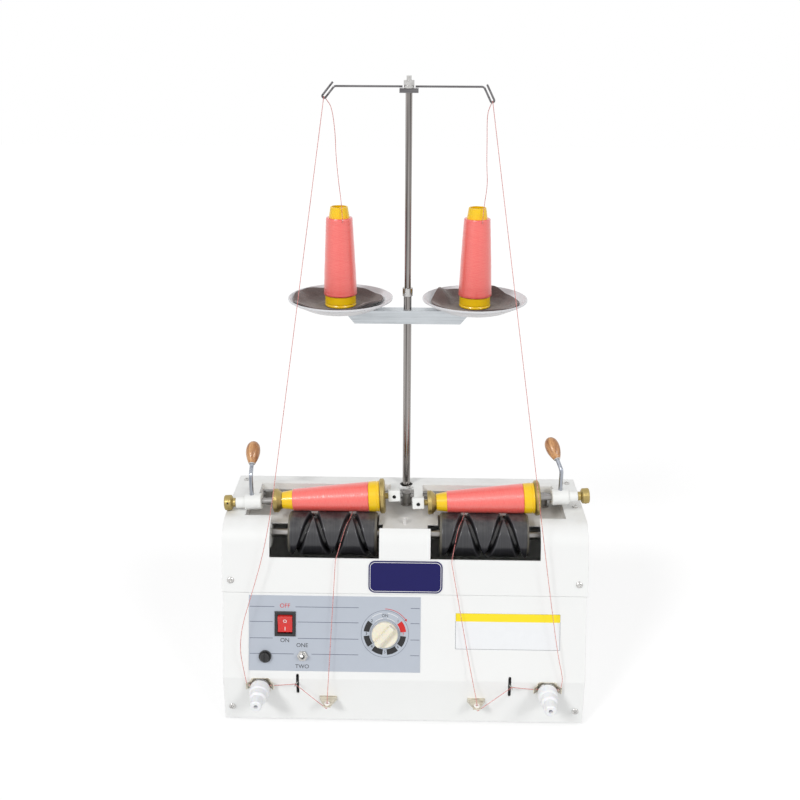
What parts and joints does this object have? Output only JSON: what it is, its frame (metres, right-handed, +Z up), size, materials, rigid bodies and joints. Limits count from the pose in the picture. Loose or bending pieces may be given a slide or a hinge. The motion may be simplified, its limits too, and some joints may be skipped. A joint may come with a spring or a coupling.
{
  "type": "yarn cone winder",
  "caption": "Two-head bench winder: sheet steel case with grooved drums, swing cradles for the wound cones and a stand with trays and thread guides.",
  "frame": {"origin": "on the resting surface, under the middle of the case", "axes": "+X to the right seen from the front, +Y to the back, +Z up"},
  "size_m": [0.4571, 0.2821, 0.7696],
  "materials": {
    "white_paint": "satin powder coat",
    "deck_paint": "satin",
    "panel_grey": "printed plate",
    "steel": "turned",
    "bright_steel": "polished",
    "zinc_plate": "zinc plated",
    "drum_black": "moulded",
    "cast_white": "painted casting",
    "brass": "turned",
    "wood": "varnished",
    "yellow_plastic": "moulded",
    "red_yarn": "wound yarn",
    "felt": "felt",
    "tray_paint": "spun and painted",
    "black_plastic": "moulded",
    "ivory_plastic": "moulded",
    "white_plastic": "turned",
    "glaze": "glazed",
    "rubber": "moulded",
    "board": "laminate"
  },
  "bodies": {
    "machine": {"case_body": "white_paint", "top_cover": "white_paint", "deck_tray": "deck_paint", "base_plate": "white_paint", "rubber_feet": "rubber", "case_screws": "bright_steel", "power_inlet": "black_plastic", "drive_motor": "steel", "drive_belt": "rubber", "shaft_bearings": "cast_white", "pivot_posts": "steel", "control_panel": "panel_grey", "switch_housings": "black_plastic", "toggle_bushing": "bright_steel", "speed_control": "board", "thread_brackets": "zinc_plate", "tension_discs": "bright_steel", "guide_beads": "glaze", "lower_tube": "bright_steel", "upper_tube": "bright_steel", "stand_fittings": "steel", "cross_bar": "tray_paint", "trays": "tray_paint", "tray_pads": "felt", "spool_pins": "steel", "thread_arms": "bright_steel", "thread_left": "red_yarn", "thread_right": "red_yarn"},
    "drums": {"drum_shaft": "steel", "drum_left": "drum_black", "drum_right": "drum_black"},
    "motor_rotor": {"motor_pulley": "steel"},
    "rocker": {"rocker": "black_plastic"},
    "toggle": {"toggle_lever": "bright_steel"},
    "fuse_cap": {"fuse_cap": "black_plastic"},
    "dial": {"dial_knob": "ivory_plastic"},
    "cradle_left": {"swing_frame_left": "cast_white", "lever_rod_left": "bright_steel", "lever_handle_left": "wood"},
    "cone_left": {"cone_tube_left": "yellow_plastic", "cone_yarn_left": "red_yarn", "head_flange_left": "brass"},
    "tail_left": {"tail_spindle_left": "steel", "tail_brass_left": "brass"},
    "supply_left": {"supply_tube_left": "yellow_plastic", "supply_yarn_left": "red_yarn"},
    "tension_nut_left": {"tension_knob_left": "white_plastic"},
    "takeup_left": {"takeup_wire_left": "bright_steel"},
    "cradle_right": {"swing_frame_right": "cast_white", "lever_rod_right": "bright_steel", "lever_handle_right": "wood"},
    "cone_right": {"cone_tube_right": "yellow_plastic", "cone_yarn_right": "red_yarn", "head_flange_right": "brass"},
    "tail_right": {"tail_spindle_right": "steel", "tail_brass_right": "brass"},
    "supply_right": {"supply_tube_right": "yellow_plastic", "supply_yarn_right": "red_yarn"},
    "tension_nut_right": {"tension_knob_right": "white_plastic"},
    "takeup_right": {"takeup_wire_right": "bright_steel"}
  },
  "joints": [
    {"name": "drum_spin", "type": "hinge", "parent": "machine", "child": "drums", "pos_m": [0, -0.017, 0.2255], "axis": [1, 0, 0], "continuous": true},
    {"name": "motor_spin", "type": "hinge", "parent": "machine", "child": "motor_rotor", "pos_m": [0.004, 0.024, 0.062], "axis": [1, 0, 0], "continuous": true},
    {"name": "rocker_tilt", "type": "hinge", "parent": "machine", "child": "rocker", "pos_m": [-0.1466, -0.07611, 0.13113], "axis": [-1, 0, 0], "range_deg": [0, 18]},
    {"name": "toggle_throw", "type": "hinge", "parent": "machine", "child": "toggle", "pos_m": [-0.125, -0.09189, 0.09438], "axis": [1, 0, 0], "range_deg": [0, 26]},
    {"name": "fuse_cap_turn", "type": "hinge", "parent": "machine", "child": "fuse_cap", "pos_m": [-0.1713, -0.09228, 0.09313], "axis": [0, 0.9537, -0.3007], "range_deg": [-90, 0]},
    {"name": "dial_turn", "type": "hinge", "parent": "machine", "child": "dial", "pos_m": [-0.0235, -0.08326, 0.12175], "axis": [0, 0.9537, -0.3007], "range_deg": [0, 300]},
    {"name": "cradle_lift_left", "type": "hinge", "parent": "machine", "child": "cradle_left", "pos_m": [-0.09327, 0.042, 0.25], "axis": [-1, 0, 0], "range_deg": [0, 40]},
    {"name": "cone_spin_left", "type": "hinge", "parent": "cradle_left", "child": "cone_left", "pos_m": [-0.09327, -0.00379, 0.26741], "axis": [0.9985, 0.0167, 0.0529], "continuous": true},
    {"name": "tail_slide_left", "type": "slide", "parent": "cradle_left", "child": "tail_left", "axis": [-0.9985, -0.0167, -0.0529], "range_m": [0, 0.01], "stiffness_N_per_m": 300, "springref_m": -0.015},
    {"name": "supply_spin_left", "type": "hinge", "parent": "machine", "child": "supply_left", "pos_m": [-0.0835, 0.076, 0.55], "axis": [0, 0, 1], "continuous": true},
    {"name": "tension_turn_left", "type": "hinge", "parent": "machine", "child": "tension_nut_left", "pos_m": [-0.1775, -0.105, 0.0545], "axis": [0, 1, 0], "range_deg": [-180, 180]},
    {"name": "takeup_dip_left", "type": "hinge", "parent": "machine", "child": "takeup_left", "pos_m": [-0.1313, -0.078, 0.06], "axis": [1, 0, 0], "range_deg": [0, 20], "stiffness_Nm_per_rad": 0.002, "springref_deg": -17.19},
    {"name": "cradle_lift_right", "type": "hinge", "parent": "machine", "child": "cradle_right", "pos_m": [0.09973, 0.042, 0.25], "axis": [-1, 0, 0], "range_deg": [0, 40]},
    {"name": "cone_spin_right", "type": "hinge", "parent": "cradle_right", "child": "cone_right", "pos_m": [0.09973, -0.00379, 0.26741], "axis": [0.9985, 0.0167, 0.0529], "continuous": true},
    {"name": "tail_slide_right", "type": "slide", "parent": "cradle_right", "child": "tail_right", "axis": [0.9985, 0.0167, 0.0529], "range_m": [0, 0.01], "stiffness_N_per_m": 300, "springref_m": -0.015},
    {"name": "supply_spin_right", "type": "hinge", "parent": "machine", "child": "supply_right", "pos_m": [0.0835, 0.076, 0.55], "axis": [0, 0, 1], "continuous": true},
    {"name": "tension_turn_right", "type": "hinge", "parent": "machine", "child": "tension_nut_right", "pos_m": [0.1775, -0.105, 0.0545], "axis": [0, 1, 0], "range_deg": [-180, 180]},
    {"name": "takeup_dip_right", "type": "hinge", "parent": "machine", "child": "takeup_right", "pos_m": [0.1313, -0.078, 0.06], "axis": [1, 0, 0], "range_deg": [0, 20], "stiffness_Nm_per_rad": 0.002, "springref_deg": -17.19}
  ],
  "couplings": [
    {"joint": "motor_spin", "follows": "drum_spin", "ratio": 0.8559},
    {"joint": "cone_spin_left", "follows": "drum_spin", "ratio": -1.7028},
    {"joint": "cone_spin_right", "follows": "drum_spin", "ratio": -1.7028}
  ]
}
